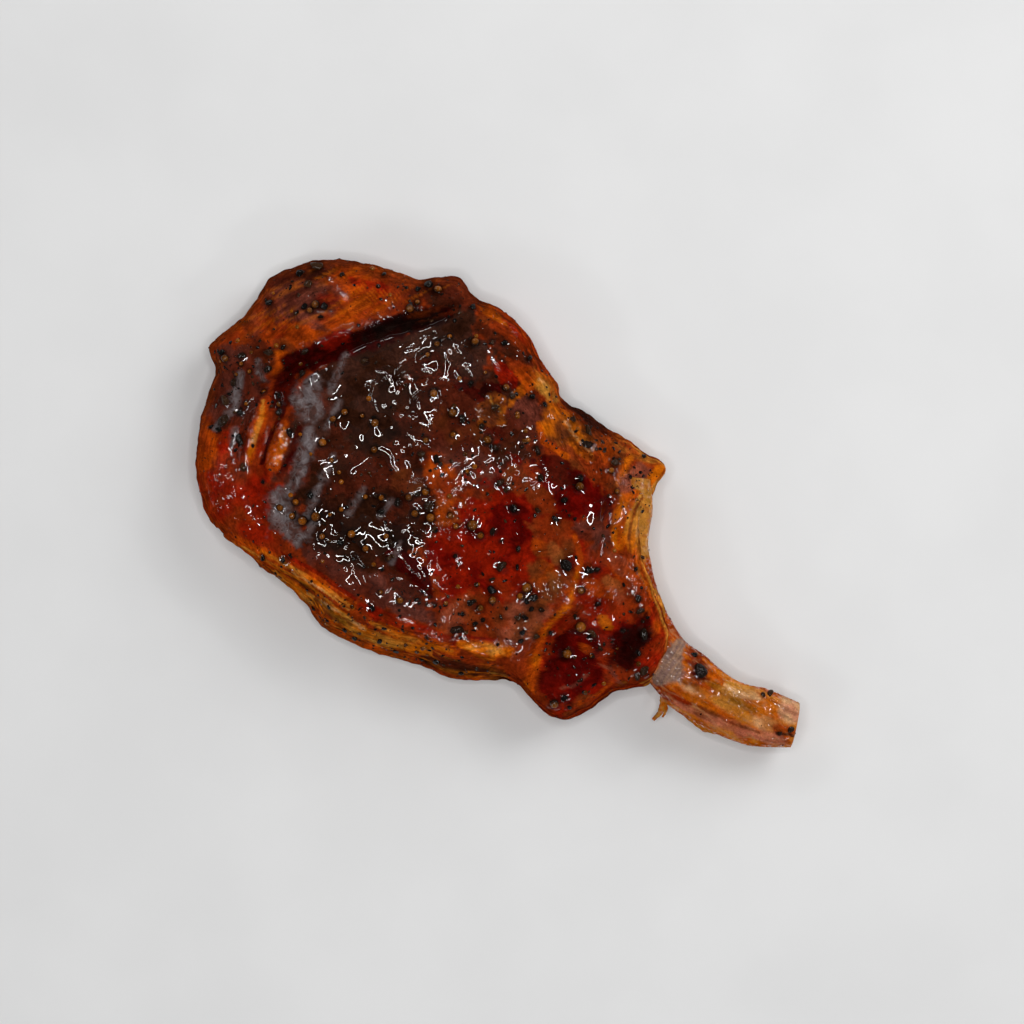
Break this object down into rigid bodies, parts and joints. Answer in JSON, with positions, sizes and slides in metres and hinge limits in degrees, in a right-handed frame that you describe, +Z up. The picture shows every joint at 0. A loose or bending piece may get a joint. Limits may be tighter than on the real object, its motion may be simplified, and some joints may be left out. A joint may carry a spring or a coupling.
{
  "type": "pork rib chop",
  "caption": "Cooked pork rib chop, a thick loin eye with a fat edge and a bare curved rib, glazed and set with cracked pepper and mustard seeds.",
  "frame": {"origin": "centre of the resting face, under the middle of the loin eye", "axes": "+X along the chop towards the sawn tip of the rib, +Y towards the flank beside the cap muscle, +Z up through the thickness"},
  "size_m": [0.2262, 0.1179, 0.0284],
  "materials": {
    "glazed_meat": "wet dark red brown glaze over roasted pork",
    "glazed_fat": "shiny orange to yellow brown rendered fat",
    "rib_bone": "greasy tan bone with orange glaze and a pink sawn end",
    "mustard_seed": "glazed tan seed",
    "cracked_pepper": "black and dark brown pepper, damp with glaze"
  },
  "bodies": {
    "root": {"loin_meat": "glazed_meat", "fat_edge": "glazed_fat", "rib_bone": "rib_bone"}
  },
  "joints": []
}
